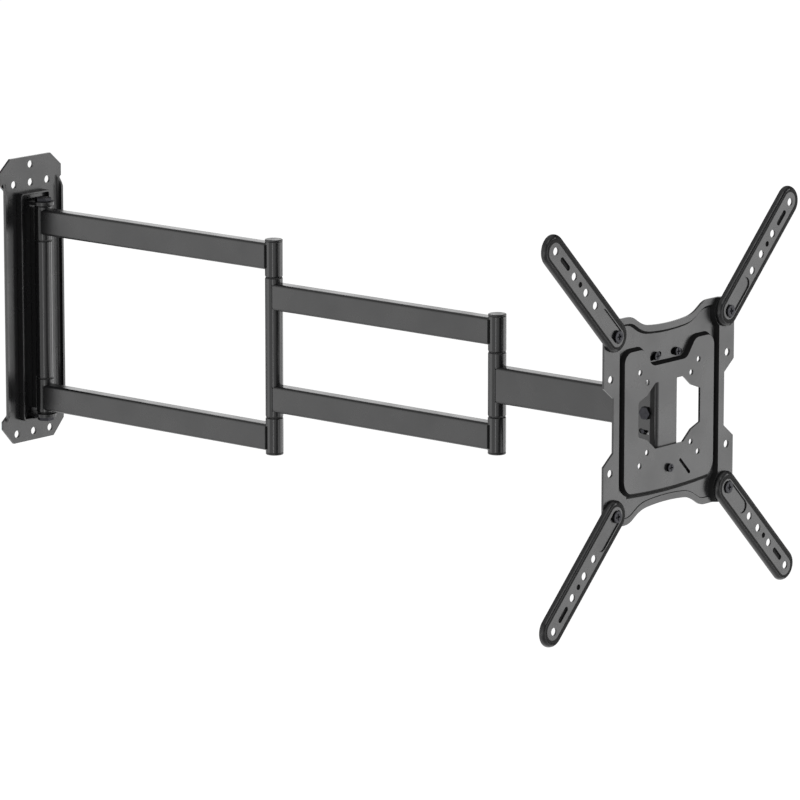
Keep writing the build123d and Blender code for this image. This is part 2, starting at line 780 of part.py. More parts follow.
# Slots of the screen plate: a slanted one in the panel, and two curved ones for the level screws
key_path = Line(key_slot_start, key_slot_end)
level_rise = level_screw_height + level_pivot_drop
level_radius = sqrt(level_screw_half**2 + level_rise**2)
level_bearings = [degrees(atan2(level_rise, side * level_screw_half)) for side in (-1, 1)]
level_paths = [
    CenterArc((0, -level_pivot_drop), level_radius, bearing - level_range, 2 * level_range)
    for bearing in level_bearings
]

# Screen plate: a pressed sheet with raised panel, side strips and rims, each hollow from behind
back_depth = press_depth + plate_sheet
with BuildPart() as vesa_plate:
    extrude(plate_outline(base_face), amount=-plate_sheet)
    extrude(panel_outline(front), amount=-back_depth, taper=-press_draft)
    extrude(strip_outline(front), amount=-back_depth, taper=-press_draft)
    for way, rise in ((1, rim_rise), (-1, lower_rim_rise)):
        rim_top = rim_outline(base_face.offset(rise), rim_width, way)
        extrude(rim_top, amount=-rise - plate_sheet, taper=-rim_draft)
    hollow_face = front.offset(-plate_sheet)
    for outline in (panel_outline, strip_outline):
        hollow_shape = outline(hollow_face, press_wall)
        extrude(hollow_shape, amount=-back_depth, taper=-press_draft, mode=Mode.SUBTRACT)
    for way, rise in ((1, rim_rise), (-1, lower_rim_rise)):
        rim_hollow = rim_outline(base_face.offset(rise - plate_sheet), rim_width - press_wall, way)
        extrude(rim_hollow, amount=-back_depth, taper=-rim_draft, mode=Mode.SUBTRACT)
    extrude(plate_outline(front), amount=-back_depth, mode=Mode.INTERSECT)
    with BuildSketch(front):
        with BuildLine():
            side = Polyline(
                (window_flat_half, window_half_height),
                (window_knee, window_knee_height),
                (window_side, window_side_height),
                (window_side, -window_side_height),
                (window_knee, -window_knee_height),
                (window_flat_half, -window_half_height),
            )
            mirror(side, about=Plane.YZ)
            for way in (1, -1):
                edge = way * window_half_height
                Line((-window_flat_half, edge), (window_flat_half, edge))
        window = make_face()
        fillet(window.vertices().group_by(Axis.X)[0], radius=window_round)
        fillet(window.vertices().group_by(Axis.X)[-1], radius=window_round)
        with GridLocations(2 * vesa_100_half, 2 * vesa_100_half, 2, 2):
            Circle(vesa_100_dia / 2)
        with GridLocations(2 * vesa_75_half, 2 * vesa_75_half, 2, 2):
            Circle(vesa_100_dia / 2)
        with GridLocations(2 * vesa_200_half, 2 * vesa_100_half, 2, 2):
            Circle(vesa_200_dia / 2)
        with GridLocations(2 * arm_pivot, 2 * arm_pivot, 2, 2):
            Circle(pivot_bolt_radius + seat_clearance)
        with Locations((0, -level_pivot_drop)):
            Circle(level_screw_radius + run_clearance)
        SlotArc(key_path, key_slot_width)
        for path in level_paths:
            SlotArc(path, 2 * (level_screw_radius + level_slot_play))
    extrude(amount=-back_depth, mode=Mode.SUBTRACT)
finish(vesa_plate, "vesa_plate")


def along(square):
    """How far from the pivot an arm is drilled for a hole at this distance up and across."""
    return (square - arm_pivot) * sqrt(2)


def press_marks(plane, growth=0.0):
    """A rib and a dimple between the outer holes of an extension arm."""
    with BuildSketch(plane) as marks:
        with Locations(((along(arm_tip) + far_hole) / 2, 0)):
            SlotCenterToCenter(rib_length, 2 * (rib_radius + growth))
        with Locations(((along(arm_mid) + far_hole) / 2, 0)):
            Circle(dimple_radius + growth)
    return marks.sketch


def extension_arm(name, side, way):
    """A pressed channel on the diagonal, with round ends, a sunk bolt pocket and screen holes."""
    root = (side * arm_pivot, plate_face - arm_gap, way * arm_pivot)
    seat = Plane(origin=root, x_dir=(side, 0, way), z_dir=(0, -1, 0))
    reach = along(arm_tip)
    with BuildPart() as arm:
        with BuildSketch(seat):
            with Locations((reach / 2, 0)):
                SlotCenterToCenter(reach, 2 * arm_radius)
        extrude(amount=arm_depth)
        fillet(arm.faces().sort_by(Axis.Y)[0].edges(), radius=arm_edge)
        with BuildSketch(seat):
            with Locations((reach / 2, 0)):
                SlotCenterToCenter(reach, 2 * (arm_radius - arm_sheet))
        extrude(amount=arm_depth - arm_sheet, mode=Mode.SUBTRACT)
        with BuildSketch(seat.offset(arm_depth - pocket_depth - arm_sheet)):
            with Locations((pocket_length / 2, 0)):
                SlotCenterToCenter(pocket_length, 2 * (pocket_radius + arm_sheet))
        extrude(amount=pocket_depth + arm_sheet)
        with BuildSketch(seat.offset(arm_depth - pocket_depth)):
            with Locations((pocket_length / 2, 0)):
                SlotCenterToCenter(pocket_length, 2 * pocket_radius)
        extrude(amount=pocket_depth, mode=Mode.SUBTRACT)
        back = press_marks(seat.offset(arm_depth - press_mark_depth - arm_sheet), arm_sheet)
        extrude(back, amount=press_mark_depth + arm_sheet)
        marks = press_marks(seat.offset(arm_depth))
        extrude(marks, amount=-press_mark_depth, taper=press_draft, mode=Mode.SUBTRACT)
        with BuildSketch(seat):
            Circle(pivot_bolt_radius + run_clearance)
            with Locations(*[(reach_hole, 0) for reach_hole in arm_holes]):
                Circle(arm_hole_dia / 2)
        extrude(amount=arm_depth, mode=Mode.SUBTRACT)
    finish(arm, name)


# Extension arms: turned level, their holes also meet the 400 x 200 and 300 x 200 patterns
far_hole = sqrt((arm_tip - arm_pivot) ** 2 + (arm_low - arm_pivot) ** 2)
near_hole = sqrt((arm_mid - arm_pivot) ** 2 + (arm_low - arm_pivot) ** 2)
arm_holes = (along(arm_tip), far_hole, along(arm_mid), near_hole)
extension_arm("extension_arm_upper_left", -1, 1)
extension_arm("extension_arm_upper_right", 1, 1)
extension_arm("extension_arm_lower_left", -1, -1)
extension_arm("extension_arm_lower_right", 1, -1)

# Pivot bolts, the washers inside the arms' channels, and the nuts behind the plate
pocket_floor = arm_gap + arm_depth - pocket_depth
with BuildPart() as arm_pivot_washers:
    with BuildSketch(front):
        with GridLocations(2 * arm_pivot, 2 * arm_pivot, 2, 2):
            Circle(pivot_washer_radius)
            Circle(pivot_bolt_radius + seat_clearance, mode=Mode.SUBTRACT)
    extrude(amount=pocket_floor - arm_sheet - arm_gap)
finish(arm_pivot_washers, "arm_pivot_washers")

with BuildPart() as arm_pivot_bolts:
    bolt_seat = front.offset(pocket_floor + bracket_gap)
    with BuildSketch(bolt_seat):
        with GridLocations(2 * arm_pivot, 2 * arm_pivot, 2, 2):
            Circle(pivot_head_radius)
    extrude(amount=pivot_head_height)
    with BuildSketch(bolt_seat):
        with GridLocations(2 * arm_pivot, 2 * arm_pivot, 2, 2):
            Circle(pivot_bolt_radius)
    extrude(amount=-pocket_floor - bracket_gap - plate_sheet - pivot_nut_height)
    with BuildSketch(bolt_seat.offset(pivot_head_height)):
        with GridLocations(2 * arm_pivot, 2 * arm_pivot, 2, 2):
            Rectangle(2 * drive_length, drive_width)
            Rectangle(drive_width, 2 * drive_length)
    extrude(amount=-drive_depth, mode=Mode.SUBTRACT)
finish(arm_pivot_bolts, "arm_pivot_bolts")

with BuildPart() as arm_pivot_nuts:
    with BuildSketch(front.offset(-plate_sheet)):
        with GridLocations(2 * arm_pivot, 2 * arm_pivot, 2, 2):
            RegularPolygon(pivot_nut_size / 2, 6, major_radius=False)
            Circle(pivot_bolt_radius + seat_clearance, mode=Mode.SUBTRACT)
    extrude(amount=-pivot_nut_height)
finish(arm_pivot_nuts, "arm_pivot_nuts")
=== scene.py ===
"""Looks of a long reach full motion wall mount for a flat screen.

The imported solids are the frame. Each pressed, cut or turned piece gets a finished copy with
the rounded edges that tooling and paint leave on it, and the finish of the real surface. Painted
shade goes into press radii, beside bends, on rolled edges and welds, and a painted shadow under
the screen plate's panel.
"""

import json
import math

import bpy
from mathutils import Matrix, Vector


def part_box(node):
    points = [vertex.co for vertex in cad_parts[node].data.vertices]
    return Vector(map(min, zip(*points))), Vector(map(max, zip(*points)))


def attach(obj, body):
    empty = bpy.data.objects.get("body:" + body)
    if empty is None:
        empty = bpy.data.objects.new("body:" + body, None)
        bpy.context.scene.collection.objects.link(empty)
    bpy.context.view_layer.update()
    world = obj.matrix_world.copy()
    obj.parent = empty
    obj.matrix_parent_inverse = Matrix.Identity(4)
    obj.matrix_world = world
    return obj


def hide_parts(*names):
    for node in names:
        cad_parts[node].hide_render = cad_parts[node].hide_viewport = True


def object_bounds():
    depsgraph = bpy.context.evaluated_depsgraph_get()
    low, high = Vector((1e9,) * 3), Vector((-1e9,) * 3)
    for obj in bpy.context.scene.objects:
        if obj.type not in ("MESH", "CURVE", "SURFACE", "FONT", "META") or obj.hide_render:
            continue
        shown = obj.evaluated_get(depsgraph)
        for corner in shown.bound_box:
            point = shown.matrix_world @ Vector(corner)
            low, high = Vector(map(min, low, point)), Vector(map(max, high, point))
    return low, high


bl_info = {
    "name": "Full Motion Wall Mount",
    "version": (1, 0, 0),
    "blender": (4, 5, 0),
    "location": "View3D > Sidebar > Wall Mount",
    "description": "Finishes the pieces of a wall mount and sets its studio",
    "category": "Object",
}

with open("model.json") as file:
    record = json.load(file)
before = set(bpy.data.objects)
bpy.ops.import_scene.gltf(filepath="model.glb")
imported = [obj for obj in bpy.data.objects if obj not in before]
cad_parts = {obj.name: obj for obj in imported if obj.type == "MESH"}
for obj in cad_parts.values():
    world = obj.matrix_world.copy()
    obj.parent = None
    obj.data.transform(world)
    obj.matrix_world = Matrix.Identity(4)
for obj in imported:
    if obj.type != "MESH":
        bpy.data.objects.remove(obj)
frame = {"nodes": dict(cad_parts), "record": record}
cad_low, cad_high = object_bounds()
body_of_node = {
    node: body for body, nodes in frame["record"]["behaviour"]["bodies"].items() for node in nodes
}
slot_of_node = {part["node"]: part["material_slot"] for part in frame["record"]["subparts"]}

MM = 0.001

# Nodes that are finished alike, and the side of each hinge lug that carries its weld
WALL_NODES = ("wall_plate", "hinge_tray", "upper_hinge_lug", "lower_hinge_lug")
SCREW_NODES = ("level_screws", "level_pivot_screw", "arm_pivot_bolts")
HINGE_LUGS = {"upper_hinge_lug": 1, "lower_hinge_lug": -1}

# Each arm's tubes with the knuckle or barrel that each is welded to at its far and near end
WELDED_ENDS = (
    ("inner_arm_upper_tube", "inner_arm_upper_elbow_knuckle", "inner_arm_upper_wall_knuckle"),
    ("inner_arm_lower_tube", "inner_arm_lower_elbow_knuckle", "inner_arm_lower_wall_knuckle"),
    ("outer_arm_upper_tube", "outer_arm_upper_elbow_knuckle", "outer_arm_barrel"),
    ("outer_arm_lower_tube", "outer_arm_lower_elbow_knuckle", "outer_arm_barrel"),
    ("head_arm_tube", "swivel_barrel", "head_arm_barrel"),
)

# How a copied solid is merged, flattened and rounded
MERGE_MM = 0.002
FLAT_WITHIN = math.radians(0.5)
CREASE = math.radians(35.0)
FLAT_FACE_WEIGHT = 100

# Sides of a weld bead, and its width between two ripples as a share of its full width
BEAD_SIDES = 10
BEAD_WAIST = 0.8

# Roughness of each finish at its glossiest and at its dullest
SHEET_ROUGHNESS = (0.22, 0.34)
TUBE_ROUGHNESS = (0.24, 0.34)
BARREL_ROUGHNESS = (0.13, 0.2)
WELD_ROUGHNESS = (0.26, 0.38)
GRAIN_ROUGHNESS = (0.5, 0.7)
ZINC_ROUGHNESS = (0.32, 0.5)
NYLON_ROUGHNESS = (0.45, 0.6)
CAP_ROUGHNESS = (0.3, 0.42)
# Roughness of the painted shade where it is mixed into the satin coat, so that it gives no reflection
PAINTED_SHADE_ROUGHNESS = 0.85

# The range in which nearly all values of a noise lie, and the width over which a strip fades out
NOISE_SPAN = {"From Min": 0.3, "From Max": 0.7}
STRIP_FADE_MM = 0.3

# Extension arms: the pivots' distance from the middle both ways, the length from the pivot to
# the middle of the round end, the strip of painted shade beside the rolled edge and its shift to
# the right, the press marks along the arm with their reach across it and their depth, and how far
# flat and rolled faces turn to the front
ARM_PIVOT_MM = 96.0
ARM_LENGTH_MM = 147.1
ARM_SHADE_STRIP_MM = (10.0, 14.0)
ARM_SHADE_SHIFT_MM = 1.3
PRESS_MARKS_MM = ((82.0, 99.0), (109.0, 142.0))
PRESS_MARK_REACH_MM = 6.0
PRESS_MARK_DEPTH_MM = (0.1, 1.9)
ARM_FLAT_FACING = -0.995
ARM_LEFT_ROLL_FACING = -0.96
ARM_RIGHT_ROLL_FACING = -0.3

# Pivot bolts: radii between which the shank and its fillet lie, and how square a head's face is
SHANK_MM = (3.7, 4.7)
HEAD_FACING = 0.98

# Screen plate: the painted shadow along the foot of the panel's lower edge, its ends, its bow and half
# its width
PANEL_FOOT_MM = (-86.0, -80.0)
PANEL_ENDS_MM = (-66.0, 74.0)
PANEL_BOW_MM = 3.3
PANEL_HALF_MM = 76.5
# Screen plate: where its drafted walls lie in depth, and how far they turn to the front, for the
# painted shade on them
DRAFT_DEPTH_MM = (0.1, 5.1)
DRAFT_FACING = (-0.99, -0.3)
# Screen plate: the side grooves, the panel's reach sideways and up, the heights between which
# only holes break it, the foot of the upper rim and the radius of the ears round the pivots, where
# drafted walls get painted shade
GROOVE_MM = (74.0, 90.0)
PANEL_REACH_MM = (76.0, 88.0)
HOLE_HEIGHTS_MM = (-72.0, 53.8)
UPPER_RIM_MM = 86.0
EAR_MM = 24.0

# Tilt bracket: the strip of painted shade beside its bends in depth, and the height of its flanges
BEND_MM = (-931.2, -925.5)
FLANGE_MM = (-40.0, 38.0)

# Studio: the floor, the far limit of the camera, the paper's own white, and the even light that
# the surround gives
FLOOR_SIDES = 96
FLOOR_RADIUS = 30.0
CAMERA_REACH = 100.0
PAPER_WHITE = 0.8
EVEN_LIGHT = 0.3

# Where gloss sees the paper: axis, and the places in metres where white starts and is full
PAPER_BEHIND = ("Y", -1.9, -0.7)
PAPER_NOT_RIGHT = ("X", 3.0, 1.5)
PAPER_LEFT = ("X", -4.5, -6.0)

# Where gloss sees a white room: axis, the parts of the direction along it where white starts and
# is full, and its strength
ROOM_BEHIND = ("Y", 0.42, 0.62, 1.0)
ROOM_LEFT = ("X", -0.5, -0.62, 1.0)
ROOM_UNDER_CEILING = ("Z", 1.0, 0.4, 1.0)
ROOM_CEILING = ("Z", 0.55, 0.95, 0.7)

# Softboxes: name, place in metres, width and height in metres, power in watts
SOFTBOXES = (
    ("Front softbox", (3.0, -3.2, 0.0), 2.0, 3.8, 63.0),
    ("Left softbox", (-3.4, 2.4, 0.2), 2.4, 4.0, 32.0),
    ("Back softbox", (3.6, 2.2, 1.3), 2.4, 2.4, 12.0),
    ("Strip softbox", (-3.6, -2.1, -0.8), 0.5, 2.0, 9.0),
    ("Top softbox", (-0.7, -3.6, 2.9), 1.4, 1.4, 15.0),
    ("Fill softbox", (0.95, -4.4, -0.3), 2.5, 3.0, 30.0),
    ("Right softbox", (4.1, -0.7, -0.3), 2.6, 3.0, 44.0),
)


class FinishSettings(bpy.types.PropertyGroup):
    """Colours of the finishes, as sRGB hex values."""

    coat: bpy.props.StringProperty(
        name="Powder coat",
        description="Colour of the satin coat on sheet and tube",
        default="#1b1b1c",
    )
    coat_shade: bpy.props.StringProperty(
        name="Powder coat shade",
        description="Colour that the satin coat drifts to in soft clouds",
        default="#222223",
    )
    # Painted shade: the near black colour put in press radii, beside bends, under the panel, on rolled
    # edges and welds
    painted_shade_coat: bpy.props.StringProperty(
        name="Painted shade",
        description="Colour of the painted shade and shadow in press radii, beside bends, under the panel, on rolled edges and welds",
        default="#070707",
    )
    zinc: bpy.props.StringProperty(
        name="Black zinc",
        description="Colour of the plated fasteners",
        default="#39393c",
    )
    zinc_stain: bpy.props.StringProperty(
        name="Black zinc stain",
        description="Colour of the darker spots in the plating",
        default="#232326",
    )
    nylon: bpy.props.StringProperty(
        name="Nylon",
        description="Colour of bushes and washers",
        default="#3c3c3d",
    )
    cap: bpy.props.StringProperty(
        name="Cap plastic",
        description="Colour of the post caps",
        default="#161617",
    )


class EdgeSettings(bpy.types.PropertyGroup):
    """Radii of the rounded edges."""

    sheet: bpy.props.FloatProperty(
        name="Sheet edge",
        description="Radius on cut and coated sheet edges",
        default=0.5 * MM,
        unit="LENGTH",
    )
    press: bpy.props.FloatProperty(
        name="Pressed edge",
        description="Radius on the pressed forms of the screen plate",
        default=1.0 * MM,
        unit="LENGTH",
    )
    turned: bpy.props.FloatProperty(
        name="Turned edge",
        description="Radius on barrels, caps and tube ends",
        default=0.4 * MM,
        unit="LENGTH",
    )
    fastener: bpy.props.FloatProperty(
        name="Fastener edge",
        description="Radius on the heads of hexagon bolts and nuts",
        default=0.5 * MM,
        unit="LENGTH",
    )
    dome: bpy.props.FloatProperty(
        name="Screw dome",
        description="Radius that makes the heads of screws and pivot bolts domed",
        default=1.3 * MM,
        unit="LENGTH",
    )
    play: bpy.props.FloatProperty(
        name="Bolt play",
        description="What the shanks of the pivot bolts lose so that the arms turn freely",
        default=0.15 * MM,
        unit="LENGTH",
    )
    bead: bpy.props.FloatProperty(
        name="Weld bead",
        description="Radius of the weld beads at the far ends of the tubes and on the lugs",
        default=2.0 * MM,
        unit="LENGTH",
    )
    seam: bpy.props.FloatProperty(
        name="Weld seam",
        description="Radius of the ground seams at the near ends of the tubes",
        default=0.8 * MM,
        unit="LENGTH",
    )
    ripple: bpy.props.FloatProperty(
        name="Weld ripple",
        description="Spacing of the ripples along a weld bead",
        default=1.5 * MM,
        unit="LENGTH",
    )


class StudioSettings(bpy.types.PropertyGroup):
    """Camera, lamps and floor."""

    azimuth: bpy.props.FloatProperty(
        name="Azimuth",
        description="Turn of the view round the object",
        default=math.radians(-49.551),
        subtype="ANGLE",
    )
    elevation: bpy.props.FloatProperty(
        name="Elevation",
        description="Height of the view above the horizon",
        default=math.radians(11.517),
        subtype="ANGLE",
    )
    lens: bpy.props.FloatProperty(
        name="Lens",
        description="Focal length on a 36 mm frame",
        default=258.0,
    )
    place: bpy.props.FloatVectorProperty(
        name="Camera place",
        description="Where the camera stands",
        default=(-4.69487, -4.56558, 1.22094),
        subtype="TRANSLATION",
        unit="LENGTH",
    )
    floor_drop: bpy.props.FloatProperty(
        name="Floor drop",
        description="Height of the mount's middle above the floor",
        default=2.0,
        unit="LENGTH",
    )
    paper: bpy.props.StringProperty(
        name="Paper",
        description="Colour of the paper floor",
        default="#e6e6e6",
    )
    surround: bpy.props.StringProperty(
        name="Surround",
        description="Colour of the studio round the object",
        default="#ffffff",
    )


def linear(hex_colour):
    """An sRGB hex value as linear RGBA."""
    shares = [int(hex_colour[i : i + 2], 16) / 255 for i in (1, 3, 5)]
    return [s / 12.92 if s <= 0.04045 else ((s + 0.055) / 1.055) ** 2.4 for s in shares] + [1.0]


def add_node(tree, kind, inputs=None, **settings):
    """Add a shader node, set its options and give its inputs values, or links from sockets."""
    node = tree.nodes.new(kind)
    for name, value in settings.items():
        setattr(node, name, value)
    for name, value in (inputs or {}).items():
        if isinstance(value, bpy.types.NodeSocket):
            tree.links.new(value, node.inputs[name])
        else:
            node.inputs[name].default_value = value
    return node


def new_material(name):
    """An empty node material and its node tree."""
    material = bpy.data.materials.new(name)
    material.use_nodes = True
    material.node_tree.nodes.clear()
    return material, material.node_tree


def powder_coat(name, finish, roughness, painted_shade_place=None):
    """Steel with a polyester powder coat, sprayed on and baked, with painted shade mixed in where the
    given mask says so.
    """
    # Near black with a satin gloss that drifts in soft clouds. The ripple of the melted powder
    # is about half a millimetre wide and is drawn twice as coarse to show.
    cloud_mm = 45.0
    ripple_mm = 1.0
    ripple_depth_mm = 0.05
    material, tree = new_material(name)
    place = add_node(tree, "ShaderNodeTexCoord").outputs["Object"]
    cloud = add_node(
        tree, "ShaderNodeTexNoise", {"Vector": place, "Scale": 1 / (cloud_mm * MM), "Detail": 3.0}
    ).outputs["Fac"]
    colour = add_node(
        tree,
        "ShaderNodeMixRGB",
        {"Fac": cloud, "Color1": linear(finish.coat), "Color2": linear(finish.coat_shade)},
    ).outputs["Color"]
    dullness = add_node(
        tree,
        "ShaderNodeMapRange",
        {"Value": cloud, **NOISE_SPAN, "To Min": roughness[0], "To Max": roughness[1]},
    ).outputs["Result"]
    # Painted shade: the near black, dull colour mixed in where the mask is 1
    if painted_shade_place:
        painted_shade = painted_shade_place(tree)
        colour = add_node(
            tree,
            "ShaderNodeMixRGB",
            {"Fac": painted_shade, "Color1": colour, "Color2": linear(finish.painted_shade_coat)},
        ).outputs["Color"]
        dullness = add_node(
            tree, "ShaderNodeMapRange", {"Value": painted_shade, "To Min": dullness, "To Max": PAINTED_SHADE_ROUGHNESS}
        ).outputs["Result"]
    ripple = add_node(
        tree, "ShaderNodeTexNoise", {"Vector": place, "Scale": 1 / (ripple_mm * MM), "Detail": 2.0}
    ).outputs["Fac"]
    relief = add_node(
        tree, "ShaderNodeBump", {"Height": ripple, "Strength": 0.25, "Distance": ripple_depth_mm * MM}
    ).outputs["Normal"]
    shader = add_node(
        tree,
        "ShaderNodeBsdfPrincipled",
        {"Base Color": colour, "Roughness": dullness, "IOR": 1.5, "Normal": relief},
    )
    add_node(tree, "ShaderNodeOutputMaterial", {"Surface": shader.outputs["BSDF"]})
    return material


def strip(tree, length, low_mm, high_mm):
    """A socket that is 1 where a length lies between two values and fades out beside them."""
    rise, fall = (
        add_node(
            tree,
            "ShaderNodeMapRange",
            {
                "Value": length,
                "From Min": (edge_mm - fade_mm) * MM,
                "From Max": (edge_mm + fade_mm) * MM,
            },
            interpolation_type="SMOOTHSTEP",
        ).outputs["Result"]
        for edge_mm, fade_mm in ((low_mm, STRIP_FADE_MM), (high_mm, -STRIP_FADE_MM))
    )
    return add_node(tree, "ShaderNodeMath", {0: rise, 1: fall}, operation="MULTIPLY").outputs["Value"]


def shade_beside_rolled_edge(tree):
    """Painted shade on the flat face of an extension arm, along where it meets its rolled edge."""
    place = add_node(tree, "ShaderNodeTexCoord").outputs["Object"]
    quarter = add_node(tree, "ShaderNodeVectorMath", {0: place}, operation="ABSOLUTE")
    # In one quarter all arms lie on the same diagonal, which is turned to lie along X
    on_arm = add_node(
        tree,
        "ShaderNodeMapping",
        {
            "Vector": quarter.outputs["Vector"],
            "Location": (-ARM_PIVOT_MM * math.sqrt(2) * MM, 0, 0),
            "Rotation": (0, math.pi / 4, 0),
        },
    )
    part = add_node(tree, "ShaderNodeSeparateXYZ", {"Vector": on_arm.outputs["Vector"]})
    along = add_node(tree, "ShaderNodeClamp", {"Value": part.outputs["X"], "Max": ARM_LENGTH_MM * MM})
    beyond = add_node(
        tree,
        "ShaderNodeMath",
        {0: part.outputs["X"], 1: along.outputs["Result"]},
        operation="SUBTRACT",
    )
    side = add_node(tree, "ShaderNodeVectorMath", {0: place}, operation="SIGN")
    hand = add_node(tree, "ShaderNodeSeparateXYZ", {"Vector": side.outputs["Vector"]})
    to_right = add_node(
        tree, "ShaderNodeMath", {0: part.outputs["Z"], 1: hand.outputs["X"]}, operation="MULTIPLY"
    )
    lee = add_node(
        tree, "ShaderNodeMath", {0: to_right.outputs["Value"], 1: -ARM_SHADE_SHIFT_MM * MM}, operation="ADD"
    )
    across = add_node(
        tree, "ShaderNodeCombineXYZ", {"X": beyond.outputs["Value"], "Z": lee.outputs["Value"]}
    )
    reach = add_node(
        tree, "ShaderNodeVectorMath", {0: across.outputs["Vector"]}, operation="LENGTH"
    )
    return strip(tree, reach.outputs["Value"], *ARM_SHADE_STRIP_MM)


def shadow_below_panel(tree):
    """Painted shadow along the foot of the raised panel's lower edge, which bows down in the middle."""
    place = add_node(tree, "ShaderNodeTexCoord").outputs["Object"]
    part = add_node(tree, "ShaderNodeSeparateXYZ", {"Vector": place})
    squared = add_node(
        tree, "ShaderNodeMath", {0: part.outputs["X"], 1: part.outputs["X"]}, operation="MULTIPLY"
    )
    bow = add_node(
        tree,
        "ShaderNodeMath",
        {0: squared.outputs["Value"], 1: PANEL_BOW_MM / PANEL_HALF_MM**2 / MM},
        operation="MULTIPLY",
    )
    height = add_node(
        tree,
        "ShaderNodeMath",
        {0: part.outputs["Z"], 1: bow.outputs["Value"]},
        operation="SUBTRACT",
    )
    foot = strip(tree, height.outputs["Value"], *PANEL_FOOT_MM)
    ends = strip(tree, part.outputs["X"], *PANEL_ENDS_MM)
    return add_node(tree, "ShaderNodeMath", {0: foot, 1: ends}, operation="MULTIPLY").outputs["Value"]


def shade_beside_bend(tree):
    """Painted shade on the strip of the tilt bracket's flanges beside the bends of its web."""
    place = add_node(tree, "ShaderNodeTexCoord").outputs["Object"]
    part = add_node(tree, "ShaderNodeSeparateXYZ", {"Vector": place})
    bend = strip(tree, part.outputs["Y"], *BEND_MM)
    flange = strip(tree, part.outputs["Z"], *FLANGE_MM)
    return add_node(tree, "ShaderNodeMath", {0: bend, 1: flange}, operation="MULTIPLY").outputs["Value"]


def painted_shade_powder_coat(name, finish):
    """Powder coat painted near black as shade, for press radii, rolled edges and welds."""
    # Near black, grainy and dull, so that it shows as painted shade and gives no reflection. The grains
    # are about a tenth of a millimetre and are drawn larger to show.
    grain_mm = 0.6
    grain_depth_mm = 0.05
    cloud_mm = 20.0
    material, tree = new_material(name)
    place = add_node(tree, "ShaderNodeTexCoord").outputs["Object"]
    grain = add_node(
        tree, "ShaderNodeTexNoise", {"Vector": place, "Scale": 1 / (grain_mm * MM), "Detail": 3.0}
    ).outputs["Fac"]
    cloud = add_node(
        tree, "ShaderNodeTexNoise", {"Vector": place, "Scale": 1 / (cloud_mm * MM), "Detail": 2.0}
    ).outputs["Fac"]
    colour = add_node(
        tree,
        "ShaderNodeMixRGB",
        {"Fac": cloud, "Color1": linear(finish.painted_shade_coat), "Color2": linear(finish.coat)},
    ).outputs["Color"]
    dullness = add_node(
        tree,
        "ShaderNodeMapRange",
        {"Value": grain, **NOISE_SPAN, "To Min": GRAIN_ROUGHNESS[0], "To Max": GRAIN_ROUGHNESS[1]},
    ).outputs["Result"]
    relief = add_node(
        tree, "ShaderNodeBump", {"Height": grain, "Strength": 0.4, "Distance": grain_depth_mm * MM}
    ).outputs["Normal"]
    shader = add_node(
        tree,
        "ShaderNodeBsdfPrincipled",
        {
            "Base Color": colour,
            "Roughness": dullness,
            "IOR": 1.5,
            "Specular IOR Level": 0.12,
            "Normal": relief,
        },
    )
    add_node(tree, "ShaderNodeOutputMaterial", {"Surface": shader.outputs["BSDF"]})
    return material


def black_zinc(finish):
    """Steel fasteners, cold headed, plated with zinc and turned black in a bath."""
    # A dull dark metal with fine darker spots, and a sheen that breaks up on the drawn steel.
    spot_mm = 1.2
    sheen_mm = 3.0
    texture_mm = 0.4
    texture_depth_mm = 0.02
    material, tree = new_material("Black zinc plate on steel")
    place = add_node(tree, "ShaderNodeTexCoord").outputs["Object"]
    spots = add_node(
        tree, "ShaderNodeTexNoise", {"Vector": place, "Scale": 1 / (spot_mm * MM), "Detail": 4.0}
    ).outputs["Fac"]
    sheen = add_node(
        tree, "ShaderNodeTexNoise", {"Vector": place, "Scale": 1 / (sheen_mm * MM), "Detail": 3.0}
    ).outputs["Fac"]
    texture = add_node(
        tree, "ShaderNodeTexNoise", {"Vector": place, "Scale": 1 / (texture_mm * MM), "Detail": 2.0}
    ).outputs["Fac"]
    colour = add_node(
        tree,
        "ShaderNodeMixRGB",
        {"Fac": spots, "Color1": linear(finish.zinc), "Color2": linear(finish.zinc_stain)},
    ).outputs["Color"]
    dullness = add_node(
        tree,
        "ShaderNodeMapRange",
        {"Value": sheen, **NOISE_SPAN, "To Min": ZINC_ROUGHNESS[0], "To Max": ZINC_ROUGHNESS[1]},
    ).outputs["Result"]
    relief = add_node(
        tree,
        "ShaderNodeBump",
        {"Height": texture, "Strength": 0.2, "Distance": texture_depth_mm * MM},
    ).outputs["Normal"]
    shader = add_node(
        tree,
        "ShaderNodeBsdfPrincipled",
        {"Base Color": colour, "Metallic": 1.0, "Roughness": dullness, "Normal": relief},
    )
    add_node(tree, "ShaderNodeOutputMaterial", {"Surface": shader.outputs["BSDF"]})
    return material


def moulded_plastic(name, colour, roughness):
    """Nylon or polypropylene, injection moulded in a spark eroded mould."""
    # Dark and even, with the fine dull texture that the mould leaves, about 0.3 mm across.
    texture_mm = 0.3
    texture_depth_mm = 0.02
    flow_mm = 6.0
    material, tree = new_material(name)
    place = add_node(tree, "ShaderNodeTexCoord").outputs["Object"]
    texture = add_node(
        tree, "ShaderNodeTexNoise", {"Vector": place, "Scale": 1 / (texture_mm * MM), "Detail": 2.0}
    ).outputs["Fac"]
    flow = add_node(
        tree, "ShaderNodeTexNoise", {"Vector": place, "Scale": 1 / (flow_mm * MM), "Detail": 2.0}
    ).outputs["Fac"]
    dullness = add_node(
        tree,
        "ShaderNodeMapRange",
        {"Value": flow, **NOISE_SPAN, "To Min": roughness[0], "To Max": roughness[1]},
    ).outputs["Result"]
    relief = add_node(
        tree,
        "ShaderNodeBump",
        {"Height": texture, "Strength": 0.3, "Distance": texture_depth_mm * MM},
    ).outputs["Normal"]
    shader = add_node(
        tree,
        "ShaderNodeBsdfPrincipled",
        {"Base Color": linear(colour), "Roughness": dullness, "IOR": 1.53, "Normal": relief},
    )
    add_node(tree, "ShaderNodeOutputMaterial", {"Surface": shader.outputs["BSDF"]})
    return material


